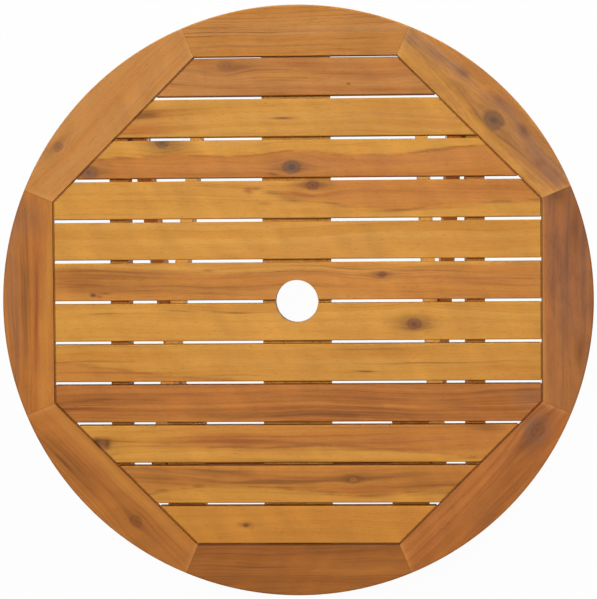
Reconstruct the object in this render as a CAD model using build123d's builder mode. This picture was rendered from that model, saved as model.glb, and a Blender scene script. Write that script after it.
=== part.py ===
from build123d import *
import os
from math import atan2, cos, degrees, hypot, radians, sin, sqrt

# Round folding garden table, in millimetres: a slatted top on two pairs of crossed legs.
# X runs along the slats, Y runs across them, and Z points up from the floor.
os.makedirs("parts", exist_ok=True)

# Top: a ring of mitred boards round a field of slats
top_diameter = 900
table_height = 750
board_thickness = 20
ring_boards = 8
ring_width = 77.5
slat_count = 12
slat_gap = 4.6
slat_rim_gap = 2.8
slat_end_gap = 2.2
ring_rounding = 3
slat_rounding = 2
mitre_bevel = 0.5
groove_depth = 10
tongue_length = 9
tongue_thickness = 8
tongue_shoulder = 1
parasol_diameter = 65
ring_dowel_diameter = 10
ring_dowel_length = 50

# Boards under the top
centre_board_width = 105
centre_board_thickness = 20
centre_board_overlap = 39
batten_inset = 85.5
batten_width = 28
batten_depth = 56
batten_overlap = 46
cleat_gap = 4
cleat_width = 56
cleat_depth = 56
cleat_length = 160
under_rounding = 2

# Legs: the outer pair hinges on the battens, the inner pair carries the crossbar
leg_thickness = 23
leg_width = 50
leg_rounding = 3
hinge_inset = 50
hinge_drop = 57
foot_y = 300
crossbar_diameter = 30
tenon_diameter = 18
tenon_length = 16
rail_width = 45
rail_thickness = 20
rail_rounding = 2
outer_rail_reach = 305
inner_rail_reach = 260
rail_dowel_diameter = 8
rail_dowel_length = 36
rail_dowel_spacing = 22

# Pivot hardware: a screw in a flanged sleeve, with a spacer between the moving pieces
hinge_spacer_gap = 5
scissor_spacer_gap = 3
spacer_diameter = 24
sleeve_diameter = 10
pivot_head_diameter = 18
pivot_head_thickness = 3.5
pivot_screw_diameter = 6
pivot_screw_reach = 30
pivot_end_room = 2
hex_socket_width = 4
hex_socket_depth = 2

# Wood screws
screw_diameter = 4
screw_head_diameter = 8
screw_head_height = 2
screw_grip = 13
screw_clamp = 20
drive_width = 2.4
drive_depth = 1.2
centre_screw_inset = 14
end_screw_inset = 20
rail_screw_spacing = 20

# Clearances
glue_clearance = 0.1
tongue_clearance = 0.2
running_clearance = 0.08
seat_clearance = 0.3
recess_clearance = 0.4
face_clearance = 0.1
tip_clearance = 1

# Levels and places that follow from the sizes above
top_radius = top_diameter / 2
octagon_apothem = top_radius - ring_width
half_turn = 180
wedge_angle = 360 / ring_boards
slat_field = 2 * (octagon_apothem - slat_rim_gap)
slat_width = (slat_field - (slat_count - 1) * slat_gap) / slat_count
slat_pitch = slat_width + slat_gap
underside = table_height - board_thickness
board_middle = table_height - board_thickness / 2
slat_ys = [((slat_count - 1) / 2 - i) * slat_pitch for i in range(slat_count)]
sides = (-1, 1)
side_names = {-1: "left", 1: "right"}
batten_outer_x = octagon_apothem - batten_inset
batten_inner_x = batten_outer_x - batten_width
batten_x = batten_outer_x - batten_width / 2
batten_end_y = octagon_apothem * sqrt(2) - batten_x + batten_overlap
outer_leg_outer_x = batten_inner_x - hinge_spacer_gap
outer_leg_inner_x = outer_leg_outer_x - leg_thickness
inner_leg_outer_x = outer_leg_inner_x - scissor_spacer_gap
inner_leg_inner_x = inner_leg_outer_x - leg_thickness
cleat_x = inner_leg_inner_x - cleat_gap - cleat_width / 2
hinge_y = batten_end_y - hinge_inset
hinge_z = table_height - hinge_drop
scissor_z = hinge_z * foot_y / (foot_y + hinge_y)
leg_run = hypot(hinge_y + foot_y, hinge_z)
leg_along = ((hinge_y + foot_y) / leg_run, hinge_z / leg_run)
leg_angle = degrees(atan2(leg_along[1], leg_along[0]))
parasol_radius = parasol_diameter / 2
screw_seat = underside - screw_clamp
seat_radius = crossbar_diameter / 2 + seat_clearance
recess_depth = pivot_head_thickness + face_clearance
recess_radius = pivot_head_diameter / 2 + recess_clearance
pivot_hole_radius = sleeve_diameter / 2 + running_clearance
screw_hole_radius = screw_diameter / 2 + glue_clearance
screw_seat_radius = screw_head_diameter / 2 + glue_clearance
pilot_depth = screw_grip + tip_clearance

# Where the wood screws go, seen from above
centre_screw_x = centre_board_width / 2 - centre_screw_inset
ring_screw_y = octagon_apothem + centre_board_overlap - end_screw_inset
centre_screws = [(s * centre_screw_x, y) for s in sides for y in slat_ys]
centre_screws += [(s * centre_screw_x, t * ring_screw_y) for s in sides for t in sides]
batten_end_screw_y = batten_end_y - end_screw_inset
batten_reach = batten_end_y - batten_overlap
batten_screws = [(s * batten_x, y) for s in sides for y in slat_ys if abs(y) < batten_reach]
batten_screws += [(s * batten_x, t * batten_end_screw_y) for s in sides for t in sides]
cleat_grip = cleat_length / 2 - end_screw_inset
cleat_screw_ys = [y for y in slat_ys if abs(y + hinge_y) < cleat_grip]
cleat_screws = [(s * cleat_x, y) for s in sides for y in cleat_screw_ys]
all_screws = centre_screws + batten_screws + cleat_screws


def looking_up(x, y, z):
    """Plane at a point whose holes run upwards."""
    return Plane(origin=(x, y, z), x_dir=(1, 0, 0), z_dir=(0, 0, -1))


def side_plane(x):
    """Plane across X at x: its own x is Y and its own y is Z."""
    return Plane(origin=(x, 0, 0), x_dir=(0, 1, 0), z_dir=(1, 0, 0))


def facing(side, x, y, z):
    """Plane at a point on one side of the table, facing away from the middle."""
    return Plane(origin=(side * x, y, z), x_dir=(0, 1, 0), z_dir=(side, 0, 0))


def facing_in(side, x, y, z):
    """Plane at a point on one side of the table, facing the middle."""
    return Plane(origin=(side * x, y, z), x_dir=(0, 1, 0), z_dir=(-side, 0, 0))


def leg_point(end, reach, lift):
    """Y and Z of a point below the crossing: along a leg by reach, and off its upper edge by lift.

    The end is +1 for the outer legs, whose feet are at -Y, and -1 for the inner legs."""
    y = end * (-reach * leg_along[0] - lift * leg_along[1])
    z = scissor_z - reach * leg_along[1] + lift * leg_along[0]
    return y, z


def save(builder, name):
    """Names a finished part and writes its file."""
    builder.part.label = name
    export_step(builder.part, f"parts/{name}.step")


# Ring boards, each a wedge of the ring with a groove inside and a dowel hole in each mitre
for i in range(ring_boards):
    middle = i * wedge_angle
    ends = (middle - wedge_angle / 2, middle + wedge_angle / 2)
    corners = [(top_diameter * cos(radians(a)), top_diameter * sin(radians(a))) for a in ends]
    with BuildPart() as ring_board:
        with BuildSketch(Plane.XY.offset(underside)):
            Circle(top_radius)
            RegularPolygon(
                octagon_apothem, ring_boards, major_radius=False, rotation=wedge_angle / 2, mode=Mode.SUBTRACT
            )
            with BuildLine():
                Polyline((0, 0), corners[0], corners[1], close=True)
            make_face(mode=Mode.INTERSECT)
        extrude(amount=board_thickness)
        round_edges = ring_board.edges().filter_by(GeomType.CIRCLE)
        fillet(round_edges, radius=ring_rounding)
        with BuildSketch(Plane.XY.offset(board_middle - tongue_thickness / 2 - tongue_clearance)):
            RegularPolygon(
                octagon_apothem + groove_depth, ring_boards, major_radius=False, rotation=wedge_angle / 2
            )
        extrude(amount=tongue_thickness + 2 * tongue_clearance, mode=Mode.SUBTRACT)
        dowel_ring = (octagon_apothem / cos(radians(wedge_angle / 2)) + groove_depth + top_radius) / 2
        for a, turn in zip(ends, sides):
            along = (cos(radians(a)), sin(radians(a)), 0)
            out = (-turn * sin(radians(a)), turn * cos(radians(a)), 0)
            slope = (out[0], out[1], 1)
            with Locations(Plane(origin=(0, 0, table_height), x_dir=along, z_dir=slope)):
                Box(top_diameter, mitre_bevel * sqrt(2), mitre_bevel * sqrt(2), mode=Mode.SUBTRACT)
            spot = (dowel_ring * cos(radians(a)), dowel_ring * sin(radians(a)), board_middle)
            with Locations(Plane(origin=spot, z_dir=out)):
                Hole(ring_dowel_diameter / 2 + glue_clearance, depth=ring_dowel_length / 2 + tip_clearance)
        for x, y in all_screws:
            reach = hypot(x, y) * cos(atan2(y, x) - radians(middle))
            across = abs(hypot(x, y) * sin(atan2(y, x) - radians(middle)))
            if reach > octagon_apothem and across < reach * sin(radians(wedge_angle / 2)):
                with Locations(looking_up(x, y, underside)):
                    Hole(screw_hole_radius, depth=pilot_depth)
    save(ring_board, f"ring_board_{i + 1}")

# Dowels across the mitres of the ring
with BuildPart() as ring_dowels:
    for i in range(ring_boards):
        a = radians((i + 1 / 2) * wedge_angle)
        spot = (dowel_ring * cos(a), dowel_ring * sin(a), board_middle)
        with Locations(Plane(origin=spot, z_dir=(-sin(a), cos(a), 0))):
            Cylinder(ring_dowel_diameter / 2, ring_dowel_length)
save(ring_dowels, "ring_dowels")

# Slats, cut to the octagon, with a tongue at each end and half the parasol hole in the middle two
for i, slat_y in enumerate(slat_ys):
    with BuildPart() as slat:
        with BuildSketch(Plane.XY.offset(underside)):
            with Locations((0, slat_y)):
                Rectangle(top_diameter, slat_width)
            RegularPolygon(
                octagon_apothem - slat_end_gap,
                ring_boards,
                major_radius=False,
                rotation=wedge_angle / 2,
                mode=Mode.INTERSECT,
            )
        extrude(amount=board_thickness)
        fillet(slat.faces().sort_by(Axis.Z)[-1].edges(), radius=slat_rounding)
        with BuildSketch(Plane.XY.offset(board_middle - tongue_thickness / 2)):
            with Locations((0, slat_y)):
                Rectangle(top_diameter, slat_width - 2 * tongue_shoulder)
            RegularPolygon(
                octagon_apothem + tongue_length,
                ring_boards,
                major_radius=False,
                rotation=wedge_angle / 2,
                mode=Mode.INTERSECT,
            )
        extrude(amount=tongue_thickness)
        if abs(slat_y) < slat_pitch:
            with Locations(Plane.XY.offset(table_height)):
                Hole(parasol_radius, depth=board_thickness)
        for x, y in all_screws:
            if abs(y - slat_y) < slat_width / 2:
                with Locations(looking_up(x, y, underside)):
                    Hole(screw_hole_radius, depth=pilot_depth)
    save(slat, f"slat_{i + 1:02d}")

# Centre board under the slats, with the whole parasol hole
centre_board_length = 2 * (octagon_apothem + centre_board_overlap)
with BuildPart() as centre_board:
    with BuildSketch(Plane.XY.offset(underside - centre_board_thickness)):
        Rectangle(centre_board_width, centre_board_length)
    extrude(amount=centre_board_thickness)
    fillet(centre_board.faces().sort_by(Axis.Z)[0].edges(), radius=under_rounding)
    with Locations(Plane.XY.offset(underside)):
        Hole(parasol_radius, depth=centre_board_thickness)
    for x, y in centre_screws:
        with Locations(looking_up(x, y, screw_seat)):
            CounterSinkHole(screw_hole_radius, screw_seat_radius, depth=screw_clamp)
save(centre_board, "centre_board")

# Side battens, which carry the hinges
for side in sides:
    with BuildPart() as batten:
        with BuildSketch(Plane.XY.offset(underside - batten_depth)):
            with Locations((side * batten_x, 0)):
                Rectangle(batten_width, 2 * batten_end_y)
        extrude(amount=batten_depth)
        fillet(batten.faces().sort_by(Axis.Z)[0].edges(), radius=under_rounding)
        for x, y in batten_screws:
            if x * side > 0:
                with Locations(looking_up(x, y, screw_seat)):
                    CounterSinkHole(screw_hole_radius, screw_seat_radius, depth=batten_depth)
        with Locations(facing(side, batten_outer_x, hinge_y, hinge_z)):
            CounterBoreHole(pivot_hole_radius, recess_radius, recess_depth, depth=batten_width)
    save(batten, f"side_batten_{side_names[side]}")

# Catch cleats: a round seat for the crossbar, a stop on the outside and a ramp on the inside
ramp_angle = radians(45)
ramp_top = (-hinge_y + seat_radius * cos(ramp_angle), hinge_z + seat_radius * sin(ramp_angle))
cleat_bottom = underside - cleat_depth
ramp_foot = ramp_top[0] + ramp_top[1] - cleat_bottom
for side in sides:
    with BuildPart() as cleat:
        with BuildSketch(side_plane(side * cleat_x)):
            with Locations((-hinge_y, underside - cleat_depth / 2)):
                Rectangle(cleat_length, cleat_depth)
            with Locations((-hinge_y, hinge_z)):
                Circle(seat_radius, mode=Mode.SUBTRACT)
            with BuildLine():
                Polyline(
                    (-hinge_y - seat_radius, hinge_z),
                    (-hinge_y, hinge_z),
                    ramp_top,
                    (ramp_foot, cleat_bottom),
                    (-hinge_y - seat_radius, cleat_bottom),
                    close=True,
                )
            make_face(mode=Mode.SUBTRACT)
        extrude(amount=cleat_width / 2, both=True)
        ends = cleat.faces().filter_by(Axis.Y).sort_by(Axis.Y)
        fillet((ends[0].edges() + ends[-1].edges()).filter_by(Axis.Z), radius=under_rounding)
        for x, y in cleat_screws:
            if x * side > 0:
                with Locations(looking_up(x, y, screw_seat)):
                    CounterSinkHole(screw_hole_radius, screw_seat_radius, depth=cleat_depth)
    save(cleat, f"catch_cleat_{side_names[side]}")

# Wood screws that hold the slats and the ring to the boards underneath
for spots, name in (
    (centre_screws, "centre_board_screws"),
    (batten_screws, "batten_screws"),
    (cleat_screws, "cleat_screws"),
):
    with BuildPart() as screws:
        with Locations(*[(x, y, screw_seat) for x, y in spots]):
            Cone(
                screw_head_diameter / 2,
                screw_diameter / 2,
                screw_head_height,
                align=(Align.CENTER, Align.CENTER, Align.MIN),
            )
            Cylinder(
                screw_diameter / 2,
                screw_clamp + screw_grip,
                align=(Align.CENTER, Align.CENTER, Align.MIN),
            )
        with BuildSketch(Plane.XY.offset(screw_seat)):
            with Locations(*spots):
                Rectangle(drive_width, drive_width)
        extrude(amount=drive_depth, mode=Mode.SUBTRACT)
    save(screws, name)

# Legs: straight boards, round at the top and cut flat on the floor
leg_length = 2 * leg_run
rail_turn = {1: leg_angle, -1: half_turn - leg_angle}
for end, pair, inner_x in ((1, "outer", outer_leg_inner_x), (-1, "inner", inner_leg_inner_x)):
    for side in sides:
        with BuildPart() as leg:
            with BuildSketch(side_plane(side * (inner_x + leg_thickness / 2))):
                foot = leg_point(end, leg_run, 0)
                head = (end * hinge_y, hinge_z)
                reach = hypot(head[0] - foot[0], head[1] - foot[1])
                with Locations(((head[0] + foot[0]) / 2, (head[1] + foot[1]) / 2)):
                    Rectangle(reach, leg_width, rotation=rail_turn[end])
                with Locations(head):
                    Circle(leg_width / 2)
                with Locations((0, -table_height / 2)):
                    Rectangle(2 * table_height, table_height, mode=Mode.SUBTRACT)
            extrude(amount=leg_thickness / 2, both=True)
            long_edges = leg.edges().filter_by(Plane.YZ)
            fillet(long_edges, radius=leg_rounding)
            if pair == "outer":
                with Locations(facing_in(side, inner_x, hinge_y, hinge_z)):
                    CounterBoreHole(pivot_hole_radius, recess_radius, recess_depth, depth=leg_thickness)
                with Locations(facing(side, outer_leg_outer_x, 0, scissor_z)):
                    CounterBoreHole(pivot_hole_radius, recess_radius, recess_depth, depth=leg_thickness)
                lift = leg_width / 2
                for step in sides:
                    y, z = leg_point(end, outer_rail_reach + step * rail_screw_spacing / 2, lift)
                    out = (0, -leg_along[1], leg_along[0])
                    with Locations(Plane(origin=(side * (inner_x + leg_thickness / 2), y, z), z_dir=out)):
                        Hole(screw_hole_radius, depth=pilot_depth)
            else:
                with Locations(facing_in(side, inner_x, 0, scissor_z)):
                    CounterBoreHole(pivot_hole_radius, recess_radius, recess_depth, depth=leg_thickness)
                with Locations(facing_in(side, inner_x, -hinge_y, hinge_z)):
                    Hole(tenon_diameter / 2 + glue_clearance, depth=tenon_length + tip_clearance)
                for step in sides:
                    y, z = leg_point(end, inner_rail_reach + step * rail_dowel_spacing / 2, 0)
                    with Locations(facing_in(side, inner_x, y, z)):
                        Hole(
                            rail_dowel_diameter / 2 + glue_clearance,
                            depth=rail_dowel_length / 2 + tip_clearance,
                        )
        save(leg, f"{pair}_leg_{side_names[side]}")

# Rail across the upper edges of the outer legs, with its screws
rail_y, rail_z = leg_point(1, outer_rail_reach, leg_width / 2)
outer_face = Plane(origin=(0, rail_y, rail_z), x_dir=(1, 0, 0), z_dir=(0, -leg_along[1], leg_along[0]))
outer_leg_x = outer_leg_inner_x + leg_thickness / 2
rail_spots = [(s * outer_leg_x, t * rail_screw_spacing / 2) for s in sides for t in sides]
with BuildPart() as outer_rail:
    with BuildSketch(outer_face):
        Rectangle(2 * outer_leg_outer_x, rail_width)
    extrude(amount=rail_thickness)
    fillet(outer_rail.edges(), radius=rail_rounding)
    with Locations(outer_face.offset(rail_thickness)):
        with Locations(*rail_spots):
            CounterSinkHole(screw_hole_radius, screw_seat_radius, depth=rail_thickness)
save(outer_rail, "outer_rail")

rail_screw_face = Plane(
    origin=outer_face.offset(rail_thickness).origin, x_dir=(1, 0, 0), z_dir=(0, leg_along[1], -leg_along[0])
)
with BuildPart() as rail_screws:
    with Locations(rail_screw_face):
        with Locations(*rail_spots):
            Cone(
                screw_head_diameter / 2,
                screw_diameter / 2,
                screw_head_height,
                align=(Align.CENTER, Align.CENTER, Align.MIN),
            )
            Cylinder(
                screw_diameter / 2,
                rail_thickness + screw_grip,
                align=(Align.CENTER, Align.CENTER, Align.MIN),
            )
    with BuildSketch(rail_screw_face):
        with Locations(*rail_spots):
            Rectangle(drive_width, drive_width)
    extrude(amount=drive_depth, mode=Mode.SUBTRACT)
save(rail_screws, "outer_rail_screws")

# Rail between the inner legs, with its dowels
rail_y, rail_z = leg_point(-1, inner_rail_reach, 0)
inner_middle = Plane(origin=(0, rail_y, rail_z), x_dir=(0, -leg_along[0], leg_along[1]), z_dir=(1, 0, 0))
with BuildPart() as inner_rail:
    with BuildSketch(inner_middle):
        Rectangle(rail_width, rail_thickness)
    extrude(amount=inner_leg_inner_x, both=True)
    fillet(inner_rail.edges().filter_by(Axis.X), radius=rail_rounding)
    for side in sides:
        for step in sides:
            y, z = leg_point(-1, inner_rail_reach + step * rail_dowel_spacing / 2, 0)
            with Locations(facing(side, inner_leg_inner_x, y, z)):
                Hole(
                    rail_dowel_diameter / 2 + glue_clearance, depth=rail_dowel_length / 2 + tip_clearance
                )
save(inner_rail, "inner_rail")

with BuildPart() as rail_dowels:
    for side in sides:
        for step in sides:
            y, z = leg_point(-1, inner_rail_reach + step * rail_dowel_spacing / 2, 0)
            with Locations(facing(side, inner_leg_inner_x, y, z)):
                Cylinder(rail_dowel_diameter / 2, rail_dowel_length)
save(rail_dowels, "inner_rail_dowels")

# Crossbar between the inner legs, with a tenon at each end
with BuildPart() as crossbar:
    with BuildSketch(Plane.YZ):
        with Locations((-hinge_y, hinge_z)):
            Circle(crossbar_diameter / 2)
    extrude(amount=inner_leg_inner_x, both=True)
    with BuildSketch(Plane.YZ):
        with Locations((-hinge_y, hinge_z)):
            Circle(tenon_diameter / 2)
    extrude(amount=inner_leg_inner_x + tenon_length, both=True)
save(crossbar, "crossbar")

# Pivots: the sleeve goes in from the inner piece and the screw from the outer piece
for y, z, inner_x, outer_x, name in (
    (hinge_y, hinge_z, outer_leg_inner_x, batten_outer_x, "hinge"),
    (0, scissor_z, inner_leg_inner_x, outer_leg_outer_x, "scissor"),
):
    sleeve_x = inner_x + recess_depth
    head_x = outer_x - recess_depth
    sleeve_length = head_x - sleeve_x - pivot_end_room
    with BuildPart() as sleeves:
        for side in sides:
            with BuildSketch(facing(side, sleeve_x, y, z)):
                Circle(sleeve_diameter / 2)
            extrude(amount=sleeve_length)
            with BuildSketch(facing_in(side, sleeve_x, y, z)):
                Circle(pivot_head_diameter / 2)
            extrude(amount=pivot_head_thickness)
            with BuildSketch(facing_in(side, inner_x + face_clearance, y, z)):
                RegularPolygon(hex_socket_width / 2, 6, major_radius=False)
            extrude(amount=-hex_socket_depth, mode=Mode.SUBTRACT)
            with Locations(facing(side, sleeve_x + sleeve_length, y, z)):
                Hole(
                    pivot_screw_diameter / 2 + running_clearance,
                    depth=pivot_screw_reach - pivot_end_room + tip_clearance,
                )
    save(sleeves, f"{name}_sleeves")
    with BuildPart() as screws:
        for side in sides:
            with BuildSketch(facing_in(side, head_x, y, z)):
                Circle(pivot_screw_diameter / 2)
            extrude(amount=pivot_screw_reach)
            with BuildSketch(facing(side, head_x, y, z)):
                Circle(pivot_head_diameter / 2)
            extrude(amount=pivot_head_thickness)
            with BuildSketch(facing(side, head_x + pivot_head_thickness, y, z)):
                RegularPolygon(hex_socket_width / 2, 6, major_radius=False)
            extrude(amount=-hex_socket_depth, mode=Mode.SUBTRACT)
    save(screws, f"{name}_bolts")

# Spacer washers between the battens and the outer legs, and between the outer and inner legs
for y, z, inner_x, gap, name in (
    (hinge_y, hinge_z, outer_leg_outer_x, hinge_spacer_gap, "hinge"),
    (0, scissor_z, inner_leg_outer_x, scissor_spacer_gap, "scissor"),
):
    with BuildPart() as spacers:
        for side in sides:
            with BuildSketch(facing(side, inner_x + face_clearance, y, z)):
                Circle(spacer_diameter / 2)
                Circle(pivot_hole_radius, mode=Mode.SUBTRACT)
            extrude(amount=gap - 2 * face_clearance)
    save(spacers, f"{name}_spacers")
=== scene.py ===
# %% [markdown]
# # A folding garden table with a round slatted top
# The table is all oiled acacia: eight mitred boards make a ring, twelve slats fill it, and two
# pairs of crossed legs stand under it. The shapes come from the imported parts, so this lesson is
# about light, a camera and, above all, wood. The parts are loaded first and are never moved.

# %% Load the imported parts
import math

import bpy
import numpy as np
from mathutils import Matrix, Vector


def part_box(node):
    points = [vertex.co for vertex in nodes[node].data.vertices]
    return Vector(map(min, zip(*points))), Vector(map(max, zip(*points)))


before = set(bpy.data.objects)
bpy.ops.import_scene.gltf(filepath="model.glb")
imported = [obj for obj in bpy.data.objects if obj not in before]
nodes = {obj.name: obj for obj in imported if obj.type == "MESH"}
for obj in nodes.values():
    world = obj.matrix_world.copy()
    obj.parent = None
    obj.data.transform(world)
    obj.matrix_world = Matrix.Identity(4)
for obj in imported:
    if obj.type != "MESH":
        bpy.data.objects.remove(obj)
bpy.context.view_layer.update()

# %% [markdown]
# ## The camera
# The picture looks almost straight down on the top from about 2.7 metres above it. A camera can
# be turned with three angles, but it is easier to read as a place, a point to aim at and the
# direction that is up in the picture. The three axes then make its matrix.

# %% Camera above the top
eye = Vector((0.0955, 0.0807, 3.4103))
aim = Vector((0.0027, 0.0029, 0.7500))
picture_up = Vector((0.00614, 0.99955, -0.02944))
image_width, image_height = 597, 599
focal_pixels = 1751.1
sensor_width = 36.0
far_clip = 60.0

back = (eye - aim).normalized()
right = picture_up.cross(back).normalized()
lens_data = bpy.data.cameras.new("above_table")
lens_data.sensor_width = sensor_width
lens_data.lens = focal_pixels * sensor_width / max(image_width, image_height)
lens_data.clip_end = far_clip
camera = bpy.data.objects.new("above_table", lens_data)
axes = Matrix((right, back.cross(right), back)).transposed()
camera.matrix_world = Matrix.Translation(eye) @ axes.to_4x4()
bpy.context.collection.objects.link(camera)
bpy.context.scene.camera = camera
bpy.context.scene.view_settings.view_transform = "Standard"
print("lens: %.1f mm" % lens_data.lens)

# %% [markdown]
# ## Sums in a material
# A material is a web of small nodes. Wiring sums one node at a time hides the formula, so one
# class wraps a socket: an operator on it adds a Math node, and one method adds any other node,
# with its settings first and then its inputs.

# %% A socket that can do sums
class Field:
    """A value that changes over a surface; + - * / and ** on it add Math nodes."""

    def __init__(self, tree, socket=None):
        self.tree, self.socket = tree, socket

    def node(self, kind, settings=None, inputs=None, output=0):
        """Add one node: its settings, then each input as a link or as a plain value."""
        new = self.tree.nodes.new(kind)
        for key, setting in (settings or {}).items():
            if key == "points":
                curve = new.mapping.curves[0].points
                for spot in setting[1:-1]:
                    curve.new(*spot)
                curve[0].location, curve[-1].location = setting[0], setting[-1]
                new.mapping.update()
            else:
                setattr(new, key, setting)
        for key, given in (inputs or {}).items():
            if isinstance(given, Field):
                self.tree.links.new(given.socket, new.inputs[key])
            else:
                new.inputs[key].default_value = given
        return Field(self.tree, new.outputs[output])

    def math(self, operation, *terms):
        """Add one Math node with these terms."""
        return self.node("ShaderNodeMath", {"operation": operation}, dict(enumerate(terms)))

    def __add__(self, other):
        return self.math("ADD", self, other)

    def __sub__(self, other):
        return self.math("SUBTRACT", self, other)

    def __rsub__(self, other):
        return self.math("SUBTRACT", other, self)

    def __mul__(self, other):
        return self.math("MULTIPLY", self, other)

    def __truediv__(self, other):
        return self.math("DIVIDE", self, other)

    def __rtruediv__(self, other):
        return self.math("DIVIDE", other, self)

    def __pow__(self, other):
        return self.math("POWER", self, other)

    def __rpow__(self, other):
        return self.math("POWER", other, self)

    __radd__ = __add__
    __rmul__ = __mul__


print("a socket now takes + - * / and **")


# %% An empty material and its sockets
def new_material(name):
    """An empty node material: its tree as a Field, its shader and the material itself."""
    material = bpy.data.materials.new(name)
    material.use_nodes = True
    shader = material.node_tree.nodes["Principled BSDF"]
    return Field(material.node_tree), shader, material


def feed(shader, tree, **fields):
    """Link fields to a shader's sockets; a plain number is set on the socket itself."""
    for key, given in fields.items():
        socket = shader.inputs[key.replace("_", " ")]
        if isinstance(given, Field):
            tree.links.new(given.socket, socket)
        else:
            socket.default_value = given


print("a finish is made with new_material and feed")

# %% [markdown]
# ## A white floor that still takes a shadow
# The table stands on a plain pale floor. Turning the lamps up until the floor burns out would
# bleach the wood too. Instead the floor glows at strength 1 only for what looks at it directly,
# and a small share of it is still an ordinary matt surface, so the table's shadow stays.

# %% Which rays look at the floor directly
def seen_directly(field):
    """1 for rays from the camera, from a mirror or through glass, else 0."""
    rays = [field.node("ShaderNodeLightPath", None, None, ray)
            for ray in ("Is Camera Ray", "Is Glossy Ray", "Is Transmission Ray")]
    return rays[0].math("MINIMUM", rays[0] + rays[1] + rays[2], 1.0)


print("rays that see the white: from the camera, a mirror or glass")

# %% Floor
white = (1.0, 1.0, 1.0, 1.0)
matt_grey = (0.82, 0.82, 0.82, 1.0)
matt_roughness = 0.9
floor_reach = 9.0
floor_drop = 0.0006
floor_glow = 0.96

corner = np.array([[-1, -1, 0], [1, -1, 0], [1, 1, 0], [-1, 1, 0]]) * floor_reach
floor_mesh = bpy.data.meshes.new("pale_floor")
floor_mesh.from_pydata((corner - (0, 0, floor_drop)).tolist(), [], [(0, 1, 2, 3)])
floor = bpy.data.objects.new("pale_floor", floor_mesh)
bpy.context.collection.objects.link(floor)

field, shader, pale = new_material("pale_floor")
feed(shader, field.tree, Base_Color=matt_grey, Roughness=matt_roughness, Specular_IOR_Level=0.0)
glow = field.node("ShaderNodeEmission", None, {"Color": white, "Strength": 1.0})
both = field.node("ShaderNodeMixShader", None,
                  {0: seen_directly(field) * floor_glow,
                   1: Field(field.tree, shader.outputs[0]), 2: glow})
out = field.tree.nodes["Material Output"].inputs["Surface"]
field.tree.links.new(both.socket, out)
floor_mesh.materials.append(pale)
print("floor half side: %.1f m" % floor_reach)

# %% [markdown]
# ## Soft light
# In the narrow gaps the boards underneath are dark along one side and lit along the other, which
# tells where the light comes from: high up, and a little towards the top of the picture. The
# legs that lean towards that side are as bright as the top, so there is light under the table as
# well. One lamp could do the first, but not the second. So a lamp overhead, a low one on that
# side and a sky that is paler near the horizon give a level at which a colour looks as it is
# written.

# %% Sky
sky_overhead = 0.10
sky_at_horizon = 1.00
horizon_power = 2.0

sky = bpy.data.worlds.new("pale_sky")
sky.use_nodes = True
bpy.context.scene.world = sky
backdrop = sky.node_tree.nodes["Background"]
sky_field = Field(sky.node_tree)
looking = sky_field.node("ShaderNodeTexCoord", None, None, "Generated")
up = looking.node("ShaderNodeSeparateXYZ", None, {0: looking}, "Z")
low_down = (1.0 - up.math("MAXIMUM", up, 0.0)) ** horizon_power
shining = low_down * (sky_at_horizon - sky_overhead) + sky_overhead
seen = seen_directly(sky_field)
feed(backdrop, sky.node_tree, Color=white, Strength=seen + (1.0 - seen) * shining)
print("sky overhead:", sky_overhead, "at the horizon:", sky_at_horizon)


# %% Two lamps
def soft_lamp(name, spot, target, size, watts):
    """A square lamp that faces its target."""
    data = bpy.data.lights.new(name, "AREA")
    data.energy, data.size = watts, size
    lamp = bpy.data.objects.new(name, data)
    lamp.location = spot
    lamp.rotation_euler = (Vector(target) - Vector(spot)).to_track_quat("-Z", "Y").to_euler()
    bpy.context.collection.objects.link(lamp)
    print(name, spot, watts, "W")


soft_lamp("overhead_lamp", spot=(0.0, 0.38, 3.95), target=(0.0, 0.0, 0.75), size=0.5, watts=73.5)
soft_lamp("low_lamp", spot=(0.0, 2.60, 0.85), target=(0.0, 0.0, 0.60), size=0.8, watts=42.0)

# %% [markdown]
# ## Acacia
# Every board was sawn from a log, so its figure is a slice through the log's yearly rings. The
# material therefore works out how far each point lies from the heart of the log and reads its
# light and dark bands from that distance: a board cut near the heart shows arches, one cut far
# from it shows straight lines, and the ends show arcs, all without painting any of them.
# Knots push the bands aside, the grain curls in faint bands across the board, and fine fibres
# and pores run along it. Each board has its own axes, because the grain runs along it whichever
# way it lies.

# %% Named tones of oiled acacia
straight_below, straight_slope = 0.04045, 12.92
curve_offset, curve_power = 0.055, 2.4


def tone(red, green, blue):
    """A colour as seen on a screen (0 to 255), turned into the amounts of light it stands for.

    The standard curve is a straight line near black and a power above it."""
    level = np.array((red, green, blue)) / 255.0
    curved = ((level + curve_offset) / (1.0 + curve_offset)) ** curve_power
    amounts = np.where(level <= straight_below, level / straight_slope, curved)
    return (*amounts.tolist(), 1.0)


honey = tone(213, 151, 62)
gold = tone(204, 139, 53)
amber = tone(190, 120, 39)
tan = tone(194, 132, 66)
copper = tone(193, 120, 49)
chestnut = tone(172, 101, 38)
ginger = tone(214, 130, 48)
russet = tone(150, 81, 29)
umber = tone(98, 54, 16)
weathered = tone(138, 93, 66)
plum_grey = tone(138, 97, 76)
plum_brown = tone(122, 74, 50)
knot_brown = tone(66, 38, 24)
knot_red = tone(142, 80, 44)
knot_grey = tone(108, 80, 60)
# painted shade: the dark line drawn along the slats' edges and ends
painted_edge_shade = tone(104, 50, 6)
# painted highlight: the paler strip at the ends of the slanting ring boards
painted_mitre_highlight = tone(226, 166, 98)
print("honey in linear light:", [round(amount, 3) for amount in honey])


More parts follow.
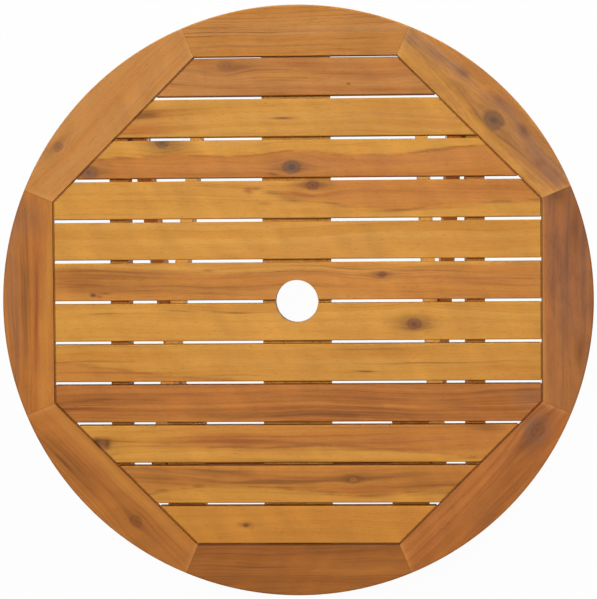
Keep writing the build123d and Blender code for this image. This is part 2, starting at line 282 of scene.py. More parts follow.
# %% Axes that lie along a board
def board_place(field, middle, along, across):
    """Object coordinates turned and centred so that x runs along the board and y across it."""
    along, across = Vector(along).normalized(), Vector(across).normalized()
    turn = Matrix((along, across, along.cross(across))).transposed().to_euler()
    seen_from = field.node("ShaderNodeTexCoord", None, None, "Object")
    return field.node("ShaderNodeMapping", {"vector_type": "TEXTURE"},
                      {"Vector": seen_from, "Location": middle, "Rotation": tuple(turn)})


print("axes of a board: along it, across it and through it")


# %% Steps, bells and blends
def ease(field, low, high, start=0.0, end=1.0):
    """A smooth step: start below low, end above high, an S-shaped curve between them."""
    return field.node("ShaderNodeMapRange", {"interpolation_type": "SMOOTHSTEP"},
                      {0: field, 1: low, 2: high, 3: start, 4: end})


def bell(*distances):
    """e to the power of minus the sum of the squares: 1 in the middle, fading to 0."""
    total = distances[0] * distances[0]
    for distance in distances[1:]:
        total = total + distance * distance
    return total.math("EXPONENT", total * -1.0)


def blend(factor, first, second):
    """A colour part of the way from the first to the second.

    A Mix node has sockets for numbers, vectors and colours; 6 and 7 in and 2 out are colours."""
    return factor.node("ShaderNodeMix", {"data_type": "RGBA"}, {0: factor, 6: first, 7: second}, 2)


print("a colour is built with ease, bell and blend")

# %% Noise that is longer one way
noise_middle = 0.5
seed_steps = (3.7, 1.9, 5.3)


def stretched_noise(place, scales, seed, detail=2.0, rough=0.5):
    """Cloudy noise whose clouds are 1/scale metres long in each direction.

    It stays near 0.5, mostly between 0.3 and 0.7. The seed moves it to another place."""
    moved = tuple(seed * step for step in seed_steps)
    scaled = place.node("ShaderNodeVectorMath", {"operation": "MULTIPLY_ADD"},
                        {0: place, 1: scales, 2: moved})
    return place.node("ShaderNodeTexNoise", None,
                      {"Vector": scaled, "Scale": 1.0, "Detail": detail, "Roughness": rough})


def fray(noise, reach):
    """A noise as a shift to either side of 0: its distance from its middle, times the reach."""
    return (noise - noise_middle) * reach


print("a seed of 1 moves the noise by", seed_steps)

# %% [markdown]
# ## Borders, marks and knots
# Some boards show where the red heartwood of the log meets its pale sapwood, some have dark
# patches, and some have knots, which are branches cut across. They could be painted on a
# picture, but a formula stays sharp at any distance and needs no file. A border is a smooth
# curve along the board, a mark is a bell-shaped patch, and a knot is a soft core with a dark
# middle and a faint rim. The board's own noise frays all three, so that they look grown.

# %% Borders between heartwood and sapwood
mm = 0.001
curve_span = 100.0 * mm
streak_fray, mottle_fray, start_fray = 0.018, 0.008, 0.35
seam_place, seam_width, seam_clouds = 1.5 * mm, 2.2 * mm, (0.35, 0.60)


def wavy_line(u, points):
    """How far across the board a smooth line through (along, across) points lies.

    A Float Curve runs from 0 to 1 both ways, so the points are scaled to that and back."""
    first, last = points[0][0], points[-1][0]
    spots = [((at_u - first) / (last - first), at_v * mm / curve_span + 0.5)
             for at_u, at_v in points]
    share = (u - first * mm) / ((last - first) * mm)
    return (u.node("ShaderNodeFloatCurve", {"points": spots}, {1: share}) - 0.5) * curve_span


def add_border(colour, u, v, grain, border):
    """Another tone on one side of a wavy line, and a broken dark seam along it.

    Streaks and clouds shift the line. Where it fades in, both grow from one place to another."""
    side, points, soft, shade, deep, seam, *fade = border
    inside = (wavy_line(u, points) - v + fray(grain["streak"], streak_fray)
              + fray(grain["mottle"], mottle_fray))
    if side == "above":
        inside = inside * -1.0
    share = ease(inside, -soft * mm, soft * mm, 0.0, deep)
    line = bell((inside - seam_place) / seam_width) * ease(grain["mottle"], *seam_clouds)
    if fade:
        begun = ease(u + fray(grain["streak"], start_fray), *[place * mm for place in fade])
        share, line = share * begun, line * begun
    return blend(line * seam, blend(share, colour, shade), umber)


print("a border's curve spans %.0f mm across a board" % (curve_span / mm))

# %% Marks
ragged_from = 40.0
mark_fray_along, mark_fray_across = 1.2, 1.8
mark_streaks, mark_cut = (0.34, 0.62), 0.7


def add_mark(colour, u, bent, grain, mark):
    """A patch: a bell along and across the grain, frayed by clouds and cut up by streaks.

    Marks of a certain length are fully ragged, and shorter ones less so."""
    at_u, at_v, long, wide, shade, deep = mark
    ragged = min(1.0, long / ragged_from)
    shape = bell((u - at_u * mm) / (long * mm) + fray(grain["mottle"], mark_fray_along),
                 (bent - at_v * mm) / (wide * mm)
                 + fray(grain["patch"], mark_fray_across * ragged))
    cut = ease(grain["streak"], *mark_streaks, 1.0 - mark_cut * ragged, 1.0)
    return blend(shape * cut * deep, colour, shade)


print("marks from %.0f mm on are fully ragged" % ragged_from)

# %% Knots
knot_stretch = 1.3
knot_grit, most_grit, knot_wobble = 6.5, 0.9, 0.8
smear_long, smear_wide, smear_fray, smear_depth = 2.8, 1.4, 2.0, 0.85
smear_streaks, least_smear = (0.34, 0.60), 0.35
core_from, core_to, core_depth = 0.25, 1.35, 0.90
rim_place, rim_width, rim_share, pith_width = 0.85, 0.22, 0.6, 0.42
ring_grit, least_ring, ring_depth = (0.32, 0.56), 0.55, 0.75


def add_knot(colour, u, v, grain, knot):
    """A cut branch: a smear along the grain, a soft core, a dark pith and a faint broken rim.

    All four follow the distance from the knot's middle, counted in its radius and frayed."""
    at_u, at_v, size, deep, core = knot
    du, dv = (u - at_u * mm) / (size * knot_stretch * mm), (v - at_v * mm) / (size * mm)
    reach = ((du * du + dv * dv) ** 0.5 + fray(grain["grit"], min(most_grit, knot_grit / size))
             + fray(grain["mottle"], knot_wobble))
    smear = bell(du / smear_long, dv / smear_wide + fray(grain["patch"], smear_fray))
    smear = smear * ease(grain["streak"], *smear_streaks, least_smear, 1.0)
    colour = blend(smear * (smear_depth * deep), colour, umber)
    colour = blend(ease(reach, core_from, core_to, core_depth * deep, 0.0), colour, core)
    rings = bell((reach - rim_place) / rim_width) * rim_share + bell(reach / pith_width)
    broken = rings * ease(grain["grit"], *ring_grit, least_ring, 1.0)
    return blend(broken * (ring_depth * deep), colour, knot_brown)


print("a knot is %.1f times as long as it is wide" % knot_stretch)

# %% [markdown]
# ## One board
# A board's colour is laid on in this order: the light and dark of the years, the heartwood, the
# curl of the grain, weathering and marks, late wood and streaks, knots, fibres and pores, and
# last a painted highlight at the ends and painted shade at the edges. One long formula could do all
# this, but small steps, each of which takes a colour and returns one, are easier to tune. The
# same fibres and pores also dent and dull the surface, so that the light breaks on the grain.

# %% Which way the grain runs
sway_scales, sway_reach = (2.8, 8.0, 8.0), 0.034
push_long, push_wide, push_share = 3.6, 2.2, 0.8


def grain_across(place, u, v, knots, seed):
    """The way across the board, bent by a slow sway and pushed aside at each knot.

    The push is the distance from the knot times a bell that fades a few radii away."""
    bent = v + fray(stretched_noise(place, sway_scales, seed), sway_reach)
    for at_u, at_v, size, *_ in knots:
        du, dv = u - at_u * mm, v - at_v * mm
        near = bell(du / (size * push_long * mm), dv / (size * push_wide * mm))
        bent = bent - dv * near * push_share
    return bent


print("the grain sways by %.0f mm at most" % (sway_reach / 2 / mm))

# %% Clouds, streaks, fibres, pores and curl
curl_slant, curl_drift = 0.6, 0.1
# Each noise: the axes it lies on, clouds to the metre along, across and through the board, what
# it adds to the board's seed, its detail and its roughness
board_noises = dict(
    patch=("board", (5.0, 34.0, 34.0), 0.7, 3.0, 0.55),
    mottle=("board", (22.0, 75.0, 75.0), 1.3, 3.0, 0.60),
    grit=("board", (170.0, 240.0, 240.0), 5.9, 3.0, 0.60),
    streak=("grain", (4.5, 150.0, 150.0), 4.2, 4.0, 0.62),
    fibre=("grain", (18.0, 480.0, 480.0), 2.1, 2.0, 0.60),
    pore=("grain", (105.0, 900.0, 900.0), 3.4, 1.0, 0.50),
    curl=("slant", (30.0, 15.0, 15.0), 6.4, 1.0, 0.50),
)


def grain_noises(place, u, bent, w, seed, knots):
    """Every noise of one board, on the board itself, along its bent grain or slanting to it."""
    ways = dict(board=place,
                grain=place.node("ShaderNodeCombineXYZ", None, {0: u, 1: bent, 2: w}),
                slant=place.node("ShaderNodeCombineXYZ", None,
                                 {0: u + bent * curl_slant, 1: bent - u * curl_drift, 2: w}))
    return {kind: stretched_noise(ways[lies_on], scales, seed + shift, detail, rough)
            for kind, (lies_on, scales, shift, detail, rough) in board_noises.items()
            if knots or kind != "grit"}


print("noises of a board:", ", ".join(board_noises))

# %% Yearly rings of the log
late_to_years = 6.0
year_seed, late_seed = 7.1, 3.3
year_detail, late_detail = 4.0, 2.0


def ring_noise(from_heart, per_metre, shift, detail):
    """Noise along one line only, the distance to the heart, so it is the same all round it."""
    return from_heart.node("ShaderNodeTexNoise", {"noise_dimensions": "1D"},
                           {"W": from_heart * per_metre + shift, "Scale": 1.0,
                            "Detail": detail, "Roughness": 0.5})


def yearly_rings(u, bent, w, heart, band, seed):
    """Broad years and thin late wood, by the root of side squared plus depth squared."""
    heart_across, heart_below, climb = heart
    side = bent - heart_across * mm
    depth = w + heart_below * mm + u * climb
    from_heart = (side * side + depth * depth) ** 0.5
    years = ring_noise(from_heart, band, seed * year_seed, year_detail)
    late = ring_noise(from_heart, band * late_to_years, seed * late_seed, late_detail)
    return years, late


print("late wood is %.0f times as fine as the years" % late_to_years)

# %% Curl, weather and dark lines
curl_depth = 0.34
blotch_mottle, blotch_patch, blotch_edges = 0.6, 0.4, (0.44, 0.62)
late_edges, late_clouds = (0.55, 0.78), (0.5, 1.2)
streak_edges, zone_in_streaks = (0.50, 0.74), 0.65


def add_curl(colour, grain):
    """Bands where the fibres rise and fall: the colour times 1, a little more or less."""
    return grain["curl"].node("ShaderNodeVectorMath", {"operation": "SCALE"},
                              {0: colour, 3: fray(grain["curl"], curl_depth) + 1.0})


def add_blotches(colour, grain, blotch):
    """Brown patches left by the weather, where two sizes of cloud add up."""
    both = grain["mottle"] * blotch_mottle + grain["patch"] * blotch_patch
    return blend(ease(both, *blotch_edges) * blotch, colour, plum_brown)


def add_dark_lines(colour, grain, late, zone, lines, streaks):
    """Late wood where the clouds are dark, and long streaks, stronger in the darker zones."""
    line = ease(late, *late_edges) * ease(grain["mottle"] + zone, *late_clouds) * lines
    streak = (ease(grain["streak"], *streak_edges)
              * (zone * zone_in_streaks + (1.0 - zone_in_streaks)) * streaks)
    return blend(line + streak, colour, umber)


print("curl: up to %.0f percent lighter or darker" % (curl_depth * 50))

# %% Painted highlight at the ends and painted shade at the edges
# painted highlight at the mitre ends: its fray, width and depth, and how it fades outwards
highlight_fray, highlight_width, highlight_depth = 10.0 * mm, 9.0 * mm, 0.22
highlight_inside, highlight_outside, highlight_outer_share = -30.0 * mm, 30.0 * mm, 0.3
# painted shade along the edges: where it starts, where it has faded and how dark it is
edge_shade_from, edge_shade_to, edge_shade_depth = 0.2 * mm, 1.6 * mm, 0.55


def add_painted_end_highlight(colour, to_end, v, grain):
    """Painted highlight: a paler strip that fades away from the end, and towards the board's outer
    side.
    """
    strip = ease(to_end + fray(grain["mottle"], highlight_fray), 0.0, highlight_width,
                 highlight_depth, 0.0)
    inner = ease(v, highlight_inside, highlight_outside, 1.0, highlight_outer_share)
    return blend(strip * inner, colour, painted_mitre_highlight)


def add_painted_edge_shade(colour, to_edge):
    """Painted shade: a thin dark line along the edge, where the gap beside it lies in shade."""
    return blend(ease(to_edge, edge_shade_from, edge_shade_to, edge_shade_depth, 0.0), colour, painted_edge_shade)


# the width of the painted shade along the edges
print("painted edge shade: %.1f mm wide" % (edge_shade_to / mm))

# %% The whole board
year_edges, zone_edges = (0.32, 0.70), (0.34, 0.68)
year_share, zone_share, mottle_share = 0.50, 0.42, 0.16
hair_edges, hair_depth = (0.45, 0.80), 0.08
pit_edges, pit_depth = (0.60, 0.72), 0.20
year_rise, hair_dent, pit_dent = 0.3, 0.35, 0.9
dent_strength, dent_depth = 0.3, 0.5 * mm
oiled_roughness, year_dulls, hair_dulls = 0.50, 0.08, 0.08
oiled_specular = 0.15


def dents(height, strength, depth):
    """A bump: the surface is shaded as if the height, times the depth in metres, stood on it."""
    return height.node("ShaderNodeBump", None,
                       {"Strength": strength, "Distance": depth, "Height": height})


def acacia(name, middle, along, across, light, dark, seed, swing=0.8, heart=(120, 60, 0.02),
           knots=(), marks=(), borders=(), band=75.0, lines=0.25, streaks=0.25, blotch=0.0,
           edge=None, lit_end=None):
    """A board's own material. Sizes are in millimetres from the board's middle.

    middle, along, across: where the board lies, and its axes.
    light, dark, swing: its two tones, and how far the figure goes from one to the other.
    seed: which noise it gets; two boards with different seeds never look alike.
    heart: where the log's heart lies across and below the board, and how fast it climbs.
    band: how many broad bands of years there are to a metre.
    knots: (along, across, radius, depth, tone of the core).
    marks: (along, across, half length, half width, tone, depth).
    borders: (side, points of a wavy line, softness, tone on that side, depth, seam's depth), and
        where it starts only part of the way along, from where to where it fades in.
    lines, streaks: how dark the late wood of each year and the long dark streaks are.
    blotch: how far the weather has turned it brown in patches.
    edge: a function of the two axes, the distance to the board's edge, along which shade is
    painted.
    lit_end: another one, the distance to an end, where a paler strip is painted as a highlight.
    """
    field, shader, material = new_material(name)
    place = board_place(field, middle, along, across)
    u, v, w = [place.node("ShaderNodeSeparateXYZ", None, {0: place}, axis) for axis in range(3)]
    bent = grain_across(place, u, v, knots, seed)
    grain = grain_noises(place, u, bent, w, seed, knots)
    years, late = yearly_rings(u, bent, w, heart, band, seed)
    year, zone = ease(years, *year_edges), ease(grain["patch"], *zone_edges)
    hair, pit = ease(grain["fibre"], *hair_edges), ease(grain["pore"], *pit_edges)

    figure = year * year_share + zone * zone_share + grain["mottle"] * mottle_share
    colour = blend(figure * swing, light, dark)
    for border in borders:
        colour = add_border(colour, u, v, grain, border)
    colour = add_curl(colour, grain)
    if blotch:
        colour = add_blotches(colour, grain, blotch)
    for mark in marks:
        colour = add_mark(colour, u, bent, grain, mark)
    colour = add_dark_lines(colour, grain, late, zone, lines, streaks)
    for knot in knots:
        colour = add_knot(colour, u, v, grain, knot)
    colour = blend(hair * hair_depth + pit * pit_depth, colour, umber)
    # painted highlight: a paler strip at the ends of the slanting ring boards
    if lit_end:
        colour = add_painted_end_highlight(colour, lit_end(u, v), v, grain)
    # painted shade: a dark line along the edges, where the gaps lie in shade
    if edge:
        colour = add_painted_edge_shade(colour, edge(u, v))

    height = years * year_rise - hair * hair_dent - pit * pit_dent
    feed(shader, field.tree, Base_Color=colour,
         Roughness=oiled_roughness + year * year_dulls + hair * hair_dulls,
         Normal=dents(height, dent_strength, dent_depth), Specular_IOR_Level=oiled_specular)
    return material


print("roughness of the oiled wood: from %.2f" % oiled_roughness)


# %% Dressing a part
def dress(node, material):
    """Give one of the loaded parts its finish."""
    mesh = nodes[node].data
    mesh.materials.clear()
    mesh.materials.append(material)


def middle_of(node):
    """The middle of a part's box, in metres."""
    low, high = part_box(node)
    return tuple((a + b) / 2 for a, b in zip(low, high))


def dim(colour, share):
    """The same tone with only a share of its light."""
    return (*[amount * share for amount in colour[:3]], 1.0)


print("middle of the first slat:", [round(place, 3) for place in middle_of("slat_01")])

# %% [markdown]
# ## The twelve slats
# The slats were picked from mixed boards, so each differs: some are plain honey, some have red
# heartwood along one edge, some have knots. One shared wood would make twelve copies of a plank,
# so what can be read off each one goes into a short row of words and sizes. The first slat is
# the one at the top of the picture.

# %% Looks of the slats
slat_looks = [
    dict(light=tan, dark=chestnut, heart=(-90, 50, 0.015), streaks=0.55,
         knots=[(-108, 17, 8, 0.38, weathered)],
         marks=[(8, 18, 45, 8, russet, 0.85), (-18, 2, 45, 5, gold, 0.75),
                (-84, 14, 22, 3, umber, 0.60), (-165, -8, 60, 16, tan, 0.60),
                (-60, -22, 60, 3, russet, 0.60), (130, 4, 110, 14, chestnut, 0.40),
                (81, -9, 3, 1.5, umber, 0.80)]),
    dict(light=dim(honey, 0.93), dark=dim(gold, 0.93), heart=(140, 45, 0.02), streaks=0.10,
         lines=0.15,
         marks=[(-30, 4, 90, 10, honey, 0.90), (-18, -4, 16, 1.8, umber, 0.95),
                (-245, -6, 70, 24, copper, 0.95), (-205, 12, 60, 7, russet, 0.85),
                (-232, 9, 24, 6, umber, 0.80), (-240, -15, 45, 8, chestnut, 0.70),
                (180, -6, 130, 22, copper, 0.50)]),
    dict(light=honey, dark=gold, swing=0.6, heart=(60, 60, 0.03), streaks=0.20, lines=0.15,
         borders=[("below", [(-345, -8), (-296, 1), (-240, 3), (-176, 5), (-96, 5), (-56, 8),
                             (0, 14), (24, 14), (64, 9), (144, 7), (204, 12), (264, 17), (345, 24)],
                   5.0, copper, 0.92, 0.40)],
         knots=[(-204, 25, 8, 0.75, knot_grey), (-6, -13, 10, 0.95, knot_grey),
                (-316, -19, 10, 0.75, weathered)],
         marks=[(-190, 8, 34, 11, copper, 0.95), (-188, 20, 30, 5, umber, 0.70),
                (60, -20, 190, 6, chestnut, 0.70),
                (-180, -18, 110, 7, chestnut, 0.60), (120, 0, 90, 5, chestnut, 0.60),
                (-36, -17, 8, 2, umber, 0.60), (-335, 6, 20, 14, copper, 0.60)]),
    dict(light=honey, dark=amber, swing=0.45, heart=(-120, 50, 0.02), streaks=0.20, lines=0.15,
         borders=[("above", [(-370, -2), (-80, -2), (0, -2), (28, -4), (60, -10), (108, -14),
                             (156, -19), (204, -14), (264, -10), (375, -6)],
                   7.0, copper, 0.85, 0.40, -70, 50)],
         knots=[(26, 21, 7, 0.95, knot_red)],
         marks=[(-73, 14, 7, 5, russet, 0.75), (-60, 17, 8, 3, umber, 0.45),
                (-36, 11, 13, 4, umber, 0.50), (-18, 6, 15, 4, umber, 0.45),
                (-48, -5, 10, 3, russet, 0.50), (-4, 1, 15, 5, umber, 0.45),
                (6, 12, 24, 8, chestnut, 0.85),
                (156, -18, 34, 1.6, umber, 0.55), (215, 10, 150, 4, russet, 0.45),
                (60, 14, 50, 6, chestnut, 0.50), (300, 18, 60, 7, russet, 0.40)]),
    dict(light=dim(honey, 0.97), dark=amber, swing=0.5, heart=(160, 60, 0.01), streaks=0.10,
         lines=0.15,
         marks=[(130, -14, 130, 9, copper, 0.30), (278, 27, 8, 1.5, umber, 0.70),
                (300, 0, 100, 24, amber, 0.40)]),
    dict(light=honey, dark=copper, swing=0.8, heart=(-50, 40, 0.04), streaks=0.60,
         borders=[("below", [(-370, 18), (-200, 18), (-80, 12), (0, 16), (90, 10), (200, 20),
                             (375, 26)], 6.0, copper, 0.62, 0.12)],
         knots=[(130, 9, 5, 0.90, knot_red)],
         marks=[(-311, -19, 5, 3, knot_brown, 0.95), (-301, -21, 5, 2.5, russet, 0.80),
                (-293, -16, 10, 2, umber, 0.60),
                (-290, 6, 110, 10, umber, 0.66), (-190, -10, 150, 6, umber, 0.66),
                (-330, 2, 60, 12, russet, 0.60), (-60, 8, 110, 3, russet, 0.60),
                (-136, 20, 8, 2, umber, 0.60), (290, -4, 110, 20, chestnut, 0.60),
                (20, -16, 70, 7, gold, 0.60), (-60, 22, 100, 5, gold, 0.60)]),
    dict(light=honey, dark=amber, swing=0.5, heart=(-150, 60, 0.015), streaks=0.14, lines=0.18,
         knots=[(178, -4, 8, 0.95, knot_red)],
         marks=[(-184, 15, 24, 1.4, umber, 0.60), (-96, 16, 26, 1.2, umber, 0.65),
                (-300, 10, 30, 1.4, umber, 0.40)]),
    dict(light=dim(honey, 0.96), dark=amber, swing=0.7, heart=(130, 55, 0.02), streaks=0.18,
         lines=0.15,
         borders=[("below", [(-375, 3), (-320, -2), (-276, -8), (-184, -20), (-96, -28),
                             (-40, -45), (375, -50)], 6.0, copper, 0.75, 0.25)],
         marks=[(100, 22, 50, 1.5, umber, 0.50), (104, -12, 15, 1.5, umber, 0.80),
                (220, -1, 110, 1.5, umber, 0.40), (330, -18, 40, 8, copper, 0.50),
                (-250, -16, 90, 2.0, umber, 0.45), (-150, -22, 90, 2.0, umber, 0.40),
                (-310, 3, 50, 1.5, umber, 0.50)]),
    dict(light=copper, dark=russet, swing=0.85, heart=(60, 30, 0.012), band=110.0, lines=0.55,
         streaks=0.70,
         marks=[(90, -12, 200, 3.5, umber, 0.60), (20, -17, 200, 2.5, umber, 0.50),
                (-216, -24, 130, 4, gold, 0.60), (-300, 6, 40, 3, umber, 0.50),
                (-226, 6, 20, 2.5, umber, 0.45), (8, 9, 60, 3, umber, 0.45),
                (116, 10, 30, 3, umber, 0.55), (352, 10, 24, 14, weathered, 0.60),
                (-100, 12, 160, 8, chestnut, 0.40)]),
    dict(light=honey, dark=amber, heart=(90, 40, 0.03), streaks=0.45,
         knots=[(-300, 1, 7, 0.55, knot_red)],
         borders=[("above", [(-345, -7), (-120, -7), (-60, -7), (60, -5), (160, -12), (263, -22),
                             (345, -27)], 6.0, copper, 0.90, 0.50, -250, -120)],
         marks=[(-70, 3, 110, 9, russet, 0.95), (-120, 21, 160, 6, gold, 0.85),
                (110, 0, 80, 7, russet, 0.55), (288, 17, 26, 6, umber, 0.60),
                (180, -10, 120, 4, russet, 0.70), (220, 6, 110, 16, chestnut, 0.60),
                (60, -20, 190, 6, honey, 0.70), (-260, 0, 60, 26, gold, 0.70),
                (-292, 2, 6, 5, knot_brown, 0.90), (-309, 4, 8, 5, knot_brown, 0.90)]),
    dict(light=tone(204, 132, 54), dark=tone(180, 108, 40), swing=0.7, heart=(-70, 45, 0.03),
         streaks=0.60,
         knots=[(84, 7, 5, 0.70, copper)],
         borders=[("below", [(-290, -26), (-240, -17), (-196, -8), (-150, -2), (-56, -3), (8, -8),
                             (56, -13), (104, -17), (156, -13), (224, -8), (290, -6)],
                   5.0, gold, 0.95, 0.45)],
         marks=[(-106, 22, 60, 3.5, umber, 0.60), (-40, 11, 110, 10, umber, 0.72),
                (-220, 8, 60, 14, umber, 0.45), (200, 5, 80, 13, umber, 0.50),
                (110, -4, 50, 9, chestnut, 0.70), (130, 16, 110, 7, umber, 0.45)]),
    dict(light=tone(201, 133, 50), dark=amber, swing=0.7, heart=(110, 50, 0.02), streaks=0.06,
         lines=0.12,
         knots=[(-80, -1, 3, 0.95, knot_red)],
         marks=[(200, 0, 60, 22, copper, 0.40), (-160, 10, 60, 10, gold, 0.50)]),
]
print("slats with knots:", sum("knots" in look for look in slat_looks))

# %% Slats
slat_half_width = 0.0287
slat_octagon = 0.3703
# the side that faces the lamp gets a thinner line of painted shade
lit_side_shift = 0.0012
slat_seed_step = 1.7


def slat_edge(row):
    """The smaller of the distances to a slat's long side and to the octagon that cuts its ends.

    In the octagon's own axes that end lies at max(|x|, (|x| + |y|) / root 2). The side towards
    the top of the picture faces the lamp, so it counts as a little further away and gets a
    thinner line of painted shade."""
    def distance(u, v):
        x, y = u.math("ABSOLUTE", u), v.math("ABSOLUTE", v + row)
        end = slat_octagon - x.math("MAXIMUM", x, (x + y) / math.sqrt(2.0))
        near = v.math("MINIMUM", v + slat_half_width, slat_half_width + lit_side_shift - v)
        return end.math("MINIMUM", end, near)
    return distance


for number, look in enumerate(slat_looks, start=1):
    node = "slat_%02d" % number
    middle = middle_of(node)
    dress(node, acacia(node + "_acacia", (0.0, middle[1], middle[2]), (1, 0, 0), (0, 1, 0),
                       seed=number * slat_seed_step, edge=slat_edge(middle[1]), **look))
print("slats:", len(slat_looks))

# %% [markdown]
# ## The ring
# The eight ring boards lie around the slats with their grain along the rim. They are numbered
# from the right-hand one against the clock. The lower and right-hand ones are darker, and the
# upper right one has grey weathered wood outside and a golden edge inside. A paler strip at the
# ends of the four slanting boards is a painted highlight where the mitres catch the light, and so
# is a pale strip along the right-hand board's inner edge. A grain that runs round in a circle
# would be easy, but these are straight boards, so the slats' own function serves, with axes that
# turn by an eighth of a circle from board to board.

# %% Looks of the ring boards
ring_looks = [
    dict(light=chestnut, dark=weathered, heart=(60, 40, 0.03), lines=0.15, streaks=0.35,
         blotch=0.40,
         marks=[(100, 2, 80, 26, plum_brown, 0.45), (111, 16, 30, 9, umber, 0.50),
                (160, -14, 14, 11, umber, 0.80), (-110, 0, 90, 30, copper, 0.60),
                # the last mark, a pale strip along the inner rounded edge, is a painted highlight
                (-81, 20, 22, 7, umber, 0.70), (0, -35, 260, 4, tan, 0.95)]),
    dict(light=tone(200, 138, 72), dark=amber, heart=(90, 40, 0.04), lines=0.20, streaks=0.25,
         blotch=0.25,
         knots=[(-19, -6, 13, 0.85, knot_grey)],
         borders=[("below", [(-190, -30), (-60, -22), (0, -18), (60, -8), (190, 6)],
                   6.0, gold, 0.80, 0.15)],
         marks=[(-14, 15, 24, 12, plum_grey, 0.85), (-62, 10, 28, 13, plum_grey, 0.80),
                (-98, 3, 24, 14, plum_grey, 0.75), (-138, 0, 28, 17, plum_grey, 0.80),
                (72, 14, 26, 10, plum_grey, 0.80), (112, 7, 26, 11, plum_grey, 0.75),
                (157, 0, 24, 14, plum_grey, 0.75), (-3, 15, 10, 8, plum_brown, 0.50),
                (-62, 13, 9, 6, plum_brown, 0.80), (-115, -2, 10, 7, plum_brown, 0.60),
                (64, 15, 10, 6, plum_brown, 0.60), (40, 28, 90, 6, copper, 0.70)]),
    dict(light=dim(tan, 0.96), dark=dim(amber, 0.96), swing=0.9, heart=(-80, 50, 0.03), lines=0.40,
         streaks=0.45),
    dict(light=tan, dark=copper, swing=0.5, heart=(80, 50, 0.03), streaks=0.14,
         knots=[(88, 13, 6, 0.60, weathered)],
         marks=[(-30, 10, 80, 9, copper, 0.80), (20, 26, 120, 6, tan, 0.60)]),
    dict(light=copper, dark=chestnut, heart=(-40, 35, 0.04), lines=0.35, streaks=0.40,
         marks=[(0, 7, 190, 5, umber, 0.70), (-20, -9, 170, 5, russet, 0.95),
                (0, 24, 160, 12, weathered, 0.60), (-130, 5, 30, 20, weathered, 0.65),
                (0, -27, 190, 8, gold, 0.70)]),
    dict(light=dim(copper, 0.92), dark=dim(chestnut, 0.92), heart=(70, 45, 0.03), lines=0.35,
         streaks=0.30,
         knots=[(61, 2, 8, 0.70, russet)],
         marks=[(-70, 12, 50, 8, umber, 0.40), (-82, 21, 24, 4, umber, 0.70),
                (0, -30, 170, 9, gold, 0.60), (70, -14, 60, 4, russet, 0.45),
                (-20, 0, 90, 5, russet, 0.45)]),
    dict(light=tone(166, 99, 36), dark=tone(146, 82, 28), heart=(-60, 35, 0.03), lines=0.50,
         streaks=0.45,
         marks=[(-90, -3, 70, 1.8, umber, 0.75), (120, -12, 70, 2, umber, 0.60),
                (60, -32, 140, 5, umber, 0.50), (90, 4, 80, 8, copper, 0.60)]),
    dict(light=tone(192, 116, 50), dark=russet, swing=0.8, heart=(60, 45, 0.03), lines=0.30,
         streaks=0.25, blotch=0.15,
         knots=[(118, -13, 9, 0.55, russet)],
         marks=[(92, -9, 34, 10, umber, 0.60), (116, -13, 22, 12, plum_grey, 0.80),
                (-60, 10, 90, 10, copper, 0.50), (-20, -8, 120, 4, russet, 0.50)]),
]
print("ring boards with knots:", sum("knots" in look for look in ring_looks))

# %% Ring boards
ring_middle_radius = 0.4105
ring_middle_height = 0.74
ring_first_seed, ring_seed_step = 30.0, 2.3
eighth = math.radians(360.0 / len(ring_looks))
mitre = eighth / 2


def to_mitre(u, v):
    """How far a point of a ring board lies from the nearer of its two slanting ends.

    Half the board's length there is its distance from the middle times the mitre's tangent."""
    half_length = (v + ring_middle_radius) * math.tan(mitre)
    return (half_length - u.math("ABSOLUTE", u)) * math.cos(mitre)


for number, look in enumerate(ring_looks, start=1):
    node = "ring_board_%d" % number
    turn = eighth * (number - 1)
    outward = (math.cos(turn), math.sin(turn), 0.0)
    middle = (ring_middle_radius * outward[0], ring_middle_radius * outward[1],
              ring_middle_height)
    # the slanting boards get a painted highlight at their mitre ends
    slanting = number % 2 == 0
    dress(node, acacia(node + "_acacia", middle, (-outward[1], outward[0], 0.0), outward,
                       seed=ring_first_seed + number * ring_seed_step,
                       lit_end=to_mitre if slanting else None, **look))
print("ring boards:", len(ring_looks))

# %% [markdown]
# ## Under the top
# Under the slats lie a centre board, two battens and two cleats, and below them stand the
# crossed legs with their rails and a round bar. They are the same wood with plainer looks, so a
# pair of tones is enough for each. One shared wood would be shorter still, but its grain would
# run the same way through all of them: a leg's grain runs up the leg, so each has its own axes.

# %% Boards, legs and rails underneath
leg_run, leg_rise = 0.54979, 0.693
across_table, along_battens = (1, 0, 0), (0, 1, 0)
up_outer_leg, up_inner_leg = (0, leg_run, leg_rise), (0, -leg_run, leg_rise)
under_first_seed, under_seed_step = 60.0, 1.9
under_figure = dict(heart=(25, 30, 0.03), lines=0.40, streaks=0.45)
under_looks = {
    "centre_board": (along_battens, across_table, honey, amber),
    "side_batten_left": (along_battens, across_table, amber, chestnut),
    "side_batten_right": (along_battens, across_table, copper, amber),
    "catch_cleat_left": (along_battens, across_table, tan, chestnut),
    "catch_cleat_right": (along_battens, across_table, amber, russet),
    "outer_leg_left": (up_outer_leg, across_table, ginger, copper),
    "outer_leg_right": (up_outer_leg, across_table, ginger, copper),
    "inner_leg_left": (up_inner_leg, across_table, honey, gold),
    "inner_leg_right": (up_inner_leg, across_table, honey, gold),
    "outer_rail": (across_table, along_battens, amber, chestnut),
    "inner_rail": (across_table, along_battens, gold, chestnut),
    "crossbar": (across_table, along_battens, chestnut, russet),
}
for number, (node, (along, across, light, dark)) in enumerate(under_looks.items()):
    dress(node, acacia(node + "_acacia", middle_of(node), along, across, light, dark,
                       seed=under_first_seed + number * under_seed_step, **under_figure))
print("boards underneath:", len(under_looks))

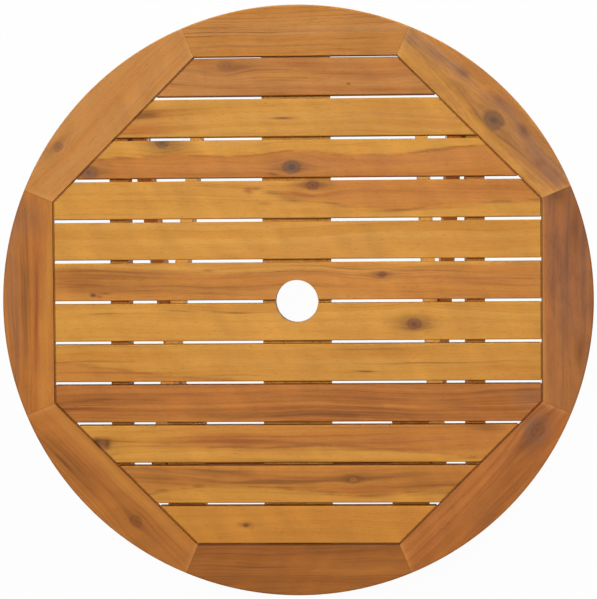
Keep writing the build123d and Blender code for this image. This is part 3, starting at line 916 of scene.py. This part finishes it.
# %% [markdown]
# ## Dowels, bolts and spacers
# The dowels are pale hardwood with a short, even grain. The screws, bolts and sleeves are steel
# with a thin zinc plating, which is never quite even: it has faint clouds and fine turning
# lines. The spacers between the legs are brown nylon with a mould's fine texture. One flat
# colour each would look like paint, so each has clouds of two close tones, and what is finer
# than a cloud specks, dulls or dents it.

# %% Finishes of the small fittings
cloud_edges = (0.3, 0.7)
speck_edges, speck_depth = (0.55, 0.75), 0.3
dowel_roughness, dowel_cloud_dulls = 0.55, 0.1
zinc_roughness = (0.26, 0.44)
nylon_roughness, nylon_cloud_dulls = 0.42, 0.12
fitting_dent, fitting_dent_depth = 0.2, 0.2 * mm


def clouded(place, first, second, per_metre, seed, detail):
    """Round clouds of two close tones: their noise and their colour."""
    cloud = stretched_noise(place, (per_metre,) * 3, seed, detail)
    return cloud, blend(ease(cloud, *cloud_edges), first, second)


def dowel_wood():
    """Pale even wood: cloudy noise between two tones, and fine specks for pores."""
    field, shader, material = new_material("dowel_wood")
    place = field.node("ShaderNodeTexCoord", None, None, "Object")
    cloud, colour = clouded(place, tone(214, 176, 124), tone(190, 146, 92),
                            per_metre=60.0, seed=4.0, detail=3.0)
    speck = stretched_noise(place, (900.0, 900.0, 900.0), seed=5.0, detail=1.0)
    colour = blend(ease(speck, *speck_edges, 0.0, speck_depth), colour, chestnut)
    feed(shader, field.tree, Base_Color=colour,
         Roughness=dowel_roughness + cloud * dowel_cloud_dulls)
    return material


def zinc_steel():
    """Zinc plating: clouds of two greys, and roughness that follows fine lines."""
    field, shader, material = new_material("zinc_steel")
    place = field.node("ShaderNodeTexCoord", None, None, "Object")
    colour = clouded(place, tone(196, 198, 200), tone(166, 169, 172),
                     per_metre=140.0, seed=6.0, detail=3.0)[1]
    line = stretched_noise(place, (300.0, 4000.0, 4000.0), seed=7.0, detail=2.0)
    feed(shader, field.tree, Base_Color=colour, Metallic=1.0,
         Roughness=ease(line, *cloud_edges, *zinc_roughness),
         Normal=dents(line, fitting_dent, fitting_dent_depth))
    return material


def brown_nylon():
    """Moulded nylon: dark brown with faint clouds and a very fine pebbled bump."""
    field, shader, material = new_material("brown_nylon")
    place = field.node("ShaderNodeTexCoord", None, None, "Object")
    cloud, colour = clouded(place, tone(96, 66, 44), tone(78, 52, 34),
                            per_metre=90.0, seed=8.0, detail=2.0)
    pebble = stretched_noise(place, (2500.0, 2500.0, 2500.0), seed=9.0, detail=1.0)
    feed(shader, field.tree, Base_Color=colour,
         Roughness=nylon_roughness + cloud * nylon_cloud_dulls,
         Normal=dents(pebble, fitting_dent, fitting_dent_depth))
    return material


print("dents of the fittings: %.1f mm" % (fitting_dent_depth / mm))

# %% Small fittings
fitting_finish = {
    dowel_wood(): ["ring_dowels", "inner_rail_dowels"],
    zinc_steel(): ["centre_board_screws", "batten_screws", "cleat_screws", "outer_rail_screws",
                   "hinge_bolts", "hinge_sleeves", "scissor_bolts", "scissor_sleeves"],
    brown_nylon(): ["hinge_spacers", "scissor_spacers"],
}
for material, names in fitting_finish.items():
    for node in names:
        dress(node, material)
print("fittings:", sum(len(names) for names in fitting_finish.values()))
